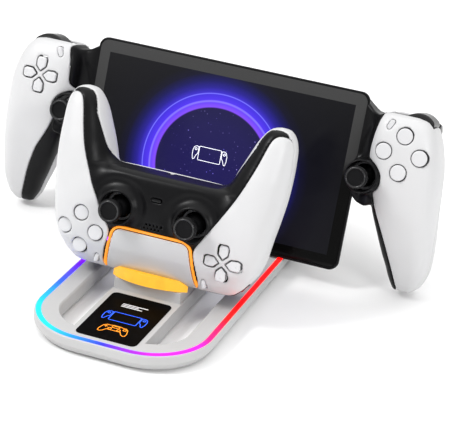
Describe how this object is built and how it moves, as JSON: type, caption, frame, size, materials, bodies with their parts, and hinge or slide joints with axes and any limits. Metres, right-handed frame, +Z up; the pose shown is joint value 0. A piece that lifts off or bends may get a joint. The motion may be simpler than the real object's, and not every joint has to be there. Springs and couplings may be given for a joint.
{
  "type": "game console with controller on a charging dock",
  "caption": "Handheld game console and a game controller standing in a flat ring-shaped charging dock with a light strip.",
  "frame": {"origin": "middle of the dock's footprint, on the surface it stands on", "axes": "+X to the viewer's right along the screen, -Y towards the viewer, +Z up"},
  "size_m": [0.326, 0.242, 0.1355],
  "materials": {
    "dock_white": "satin",
    "foot_rubber": "matte",
    "light_strip": "frosted, lit from below in bands of colour",
    "panel_black": "glossy",
    "amber_light": "frosted, lit amber",
    "shell_white": "satin",
    "touch_white": "fine satin",
    "key_white": "semi-gloss",
    "frame_black": "satin",
    "shoulder_black": "semi-gloss",
    "stick_rubber": "matte",
    "pivot_plastic": "matte",
    "screen_glass": "glossy, with a lit picture behind",
    "board_green": "matte",
    "battery_grey": "satin",
    "steel": "brushed"
  },
  "bodies": {
    "dock": {"dock_base": "dock_white", "dock_bottom_cover": "dock_white", "dock_feet": "foot_rubber", "dock_light_strip": "light_strip", "dock_panel": "panel_black", "dock_cradle": "dock_white", "dock_cradle_lip": "amber_light", "dock_stand": "dock_white", "dock_board": "board_green", "dock_plugs": "steel"},
    "controller": {"pad_plate_left": "shell_white", "pad_plate_right": "shell_white", "pad_mid_frame": "frame_black", "pad_back_shell": "shell_white", "pad_light_bar": "amber_light", "pad_board": "board_green", "pad_battery": "battery_grey", "pad_motors": "steel"},
    "handheld": {"console_screen": "screen_glass", "console_body": "frame_black", "console_grip_front_left": "shell_white", "console_grip_front_right": "shell_white", "console_grip_back_left": "shell_white", "console_grip_back_right": "shell_white", "console_board": "board_green", "console_battery": "battery_grey"},
    "pad_button_top_key": {"pad_button_top": "key_white"},
    "pad_button_bottom_key": {"pad_button_bottom": "key_white"},
    "pad_button_left_key": {"pad_button_left": "key_white"},
    "pad_button_right_key": {"pad_button_right": "key_white"},
    "pad_create_key": {"pad_create": "key_white"},
    "pad_options_key": {"pad_options": "key_white"},
    "pad_mute_key": {"pad_mute": "frame_black"},
    "pad_touchpad_key": {"pad_touchpad": "touch_white"},
    "console_button_top_key": {"console_button_top": "key_white"},
    "console_button_bottom_key": {"console_button_bottom": "key_white"},
    "console_button_left_key": {"console_button_left": "key_white"},
    "console_button_right_key": {"console_button_right": "key_white"},
    "console_create_key": {"console_create": "key_white"},
    "console_options_key": {"console_options": "key_white"},
    "pad_bumper_left_bar": {"pad_bumper_left": "shoulder_black"},
    "console_bumper_left_bar": {"console_bumper_left": "shoulder_black"},
    "pad_bumper_right_bar": {"pad_bumper_right": "shoulder_black"},
    "console_bumper_right_bar": {"console_bumper_right": "shoulder_black"},
    "pad_dpad_rocker": {"pad_dpad_pivot": "pivot_plastic"},
    "pad_dpad_cross": {"pad_dpad": "key_white"},
    "console_dpad_rocker": {"console_dpad_pivot": "pivot_plastic"},
    "console_dpad_cross": {"console_dpad": "key_white"},
    "pad_left_gimbal": {"pad_stick_left_gimbal": "pivot_plastic"},
    "pad_left_stick": {"pad_stick_left": "stick_rubber"},
    "console_left_gimbal": {"console_stick_left_gimbal": "pivot_plastic"},
    "console_left_stick": {"console_stick_left": "stick_rubber"},
    "pad_right_gimbal": {"pad_stick_right_gimbal": "pivot_plastic"},
    "pad_right_stick": {"pad_stick_right": "stick_rubber"},
    "console_right_gimbal": {"console_stick_right_gimbal": "pivot_plastic"},
    "console_right_stick": {"console_stick_right": "stick_rubber"},
    "pad_left_trigger": {"pad_trigger_left": "shoulder_black"},
    "console_left_trigger": {"console_trigger_left": "shoulder_black"},
    "pad_right_trigger": {"pad_trigger_right": "shoulder_black"},
    "console_right_trigger": {"console_trigger_right": "shoulder_black"}
  },
  "joints": [
    {"name": "controller_lift", "type": "slide", "parent": "dock", "child": "controller", "axis": [0, 0.2079, 0.9781], "range_m": [0, 0.03]},
    {"name": "handheld_lift", "type": "slide", "parent": "dock", "child": "handheld", "axis": [0, 0.3074, 0.9516], "range_m": [0, 0.03]},
    {"name": "pad_button_top_press", "type": "slide", "parent": "controller", "child": "pad_button_top_key", "axis": [0, 0.9781, -0.2079], "range_m": [0, 0.0012], "stiffness_N_per_m": 200},
    {"name": "pad_button_bottom_press", "type": "slide", "parent": "controller", "child": "pad_button_bottom_key", "axis": [0, 0.9781, -0.2079], "range_m": [0, 0.0012], "stiffness_N_per_m": 200},
    {"name": "pad_button_left_press", "type": "slide", "parent": "controller", "child": "pad_button_left_key", "axis": [0, 0.9781, -0.2079], "range_m": [0, 0.0012], "stiffness_N_per_m": 200},
    {"name": "pad_button_right_press", "type": "slide", "parent": "controller", "child": "pad_button_right_key", "axis": [0, 0.9781, -0.2079], "range_m": [0, 0.0012], "stiffness_N_per_m": 200},
    {"name": "pad_create_press", "type": "slide", "parent": "controller", "child": "pad_create_key", "axis": [0, 0.9781, -0.2079], "range_m": [0, 0.001], "stiffness_N_per_m": 200},
    {"name": "pad_options_press", "type": "slide", "parent": "controller", "child": "pad_options_key", "axis": [0, 0.9781, -0.2079], "range_m": [0, 0.001], "stiffness_N_per_m": 200},
    {"name": "pad_mute_press", "type": "slide", "parent": "controller", "child": "pad_mute_key", "axis": [0, 0.9781, -0.2079], "range_m": [0, 0.0008], "stiffness_N_per_m": 200},
    {"name": "pad_touchpad_press", "type": "slide", "parent": "controller", "child": "pad_touchpad_key", "axis": [0, 0.9781, -0.2079], "range_m": [0, 0.0004], "stiffness_N_per_m": 400},
    {"name": "console_button_top_press", "type": "slide", "parent": "handheld", "child": "console_button_top_key", "axis": [0, 0.9516, -0.3074], "range_m": [0, 0.0012], "stiffness_N_per_m": 200},
    {"name": "console_button_bottom_press", "type": "slide", "parent": "handheld", "child": "console_button_bottom_key", "axis": [0, 0.9516, -0.3074], "range_m": [0, 0.0012], "stiffness_N_per_m": 200},
    {"name": "console_button_left_press", "type": "slide", "parent": "handheld", "child": "console_button_left_key", "axis": [0, 0.9516, -0.3074], "range_m": [0, 0.0012], "stiffness_N_per_m": 200},
    {"name": "console_button_right_press", "type": "slide", "parent": "handheld", "child": "console_button_right_key", "axis": [0, 0.9516, -0.3074], "range_m": [0, 0.0012], "stiffness_N_per_m": 200},
    {"name": "console_create_press", "type": "slide", "parent": "handheld", "child": "console_create_key", "axis": [0, 0.9516, -0.3074], "range_m": [0, 0.001], "stiffness_N_per_m": 200},
    {"name": "console_options_press", "type": "slide", "parent": "handheld", "child": "console_options_key", "axis": [0, 0.9516, -0.3074], "range_m": [0, 0.001], "stiffness_N_per_m": 200},
    {"name": "pad_bumper_left_press", "type": "slide", "parent": "controller", "child": "pad_bumper_left_bar", "axis": [0, 0.2079, 0.9781], "range_m": [0, 0.0008], "stiffness_N_per_m": 400},
    {"name": "console_bumper_left_press", "type": "slide", "parent": "handheld", "child": "console_bumper_left_bar", "axis": [0, -0.3074, -0.9516], "range_m": [0, 0.0008], "stiffness_N_per_m": 400},
    {"name": "pad_bumper_right_press", "type": "slide", "parent": "controller", "child": "pad_bumper_right_bar", "axis": [0, 0.2079, 0.9781], "range_m": [0, 0.0008], "stiffness_N_per_m": 400},
    {"name": "console_bumper_right_press", "type": "slide", "parent": "handheld", "child": "console_bumper_right_bar", "axis": [0, -0.3074, -0.9516], "range_m": [0, 0.0008], "stiffness_N_per_m": 400},
    {"name": "pad_dpad_rocker_tilt", "type": "hinge", "parent": "controller", "child": "pad_dpad_rocker", "pos_m": [0.0513, -0.03636, 0.04894], "axis": [1, 0, 0], "range_deg": [-3.5, 3.5], "stiffness_Nm_per_rad": 0.06},
    {"name": "pad_dpad_cross_tilt", "type": "hinge", "parent": "pad_dpad_rocker", "child": "pad_dpad_cross", "pos_m": [0.0513, -0.03636, 0.04894], "axis": [0, 0.2079, 0.9781], "range_deg": [-3.5, 3.5], "stiffness_Nm_per_rad": 0.06},
    {"name": "console_dpad_rocker_tilt", "type": "hinge", "parent": "handheld", "child": "console_dpad_rocker", "pos_m": [-0.135, 0.06798, 0.10546], "axis": [1, 0, 0], "range_deg": [-3.5, 3.5], "stiffness_Nm_per_rad": 0.06},
    {"name": "console_dpad_cross_tilt", "type": "hinge", "parent": "console_dpad_rocker", "child": "console_dpad_cross", "pos_m": [-0.135, 0.06798, 0.10546], "axis": [0, 0.3074, 0.9516], "range_deg": [-3.5, 3.5], "stiffness_Nm_per_rad": 0.06},
    {"name": "pad_left_gimbal_tilt", "type": "hinge", "parent": "controller", "child": "pad_left_gimbal", "pos_m": [-0.0268, -0.03232, 0.06914], "axis": [1, 0, 0], "range_deg": [-18, 18], "stiffness_Nm_per_rad": 0.08},
    {"name": "pad_left_stick_tilt", "type": "hinge", "parent": "pad_left_gimbal", "child": "pad_left_stick", "pos_m": [-0.0268, -0.03232, 0.06914], "axis": [0, 0.2079, 0.9781], "range_deg": [-18, 18], "stiffness_Nm_per_rad": 0.08},
    {"name": "console_left_gimbal_tilt", "type": "hinge", "parent": "handheld", "child": "console_left_gimbal", "pos_m": [-0.11, 0.06725, 0.08426], "axis": [1, 0, 0], "range_deg": [-18, 18], "stiffness_Nm_per_rad": 0.08},
    {"name": "console_left_stick_tilt", "type": "hinge", "parent": "console_left_gimbal", "child": "console_left_stick", "pos_m": [-0.11, 0.06725, 0.08426], "axis": [0, 0.3074, 0.9516], "range_deg": [-18, 18], "stiffness_Nm_per_rad": 0.08},
    {"name": "pad_right_gimbal_tilt", "type": "hinge", "parent": "controller", "child": "pad_right_gimbal", "pos_m": [0.0268, -0.03232, 0.06914], "axis": [1, 0, 0], "range_deg": [-18, 18], "stiffness_Nm_per_rad": 0.08},
    {"name": "pad_right_stick_tilt", "type": "hinge", "parent": "pad_right_gimbal", "child": "pad_right_stick", "pos_m": [0.0268, -0.03232, 0.06914], "axis": [0, 0.2079, 0.9781], "range_deg": [-18, 18], "stiffness_Nm_per_rad": 0.08},
    {"name": "console_right_gimbal_tilt", "type": "hinge", "parent": "handheld", "child": "console_right_gimbal", "pos_m": [0.11, 0.06725, 0.08426], "axis": [1, 0, 0], "range_deg": [-18, 18], "stiffness_Nm_per_rad": 0.08},
    {"name": "console_right_stick_tilt", "type": "hinge", "parent": "console_right_gimbal", "child": "console_right_stick", "pos_m": [0.11, 0.06725, 0.08426], "axis": [0, 0.3074, 0.9516], "range_deg": [-18, 18], "stiffness_Nm_per_rad": 0.08},
    {"name": "pad_trigger_left_pull", "type": "hinge", "parent": "controller", "child": "pad_left_trigger", "pos_m": [-0.0486, -0.01719, 0.02779], "axis": [1, 0, 0], "range_deg": [0, 10], "stiffness_Nm_per_rad": 0.05},
    {"name": "console_trigger_left_pull", "type": "hinge", "parent": "handheld", "child": "console_left_trigger", "pos_m": [-0.1385, 0.10218, 0.10912], "axis": [-1, 0, 0], "range_deg": [0, 10], "stiffness_Nm_per_rad": 0.05},
    {"name": "pad_trigger_right_pull", "type": "hinge", "parent": "controller", "child": "pad_right_trigger", "pos_m": [0.0486, -0.01719, 0.02779], "axis": [1, 0, 0], "range_deg": [0, 10], "stiffness_Nm_per_rad": 0.05},
    {"name": "console_trigger_right_pull", "type": "hinge", "parent": "handheld", "child": "console_right_trigger", "pos_m": [0.1385, 0.10218, 0.10912], "axis": [-1, 0, 0], "range_deg": [0, 10], "stiffness_Nm_per_rad": 0.05}
  ]
}
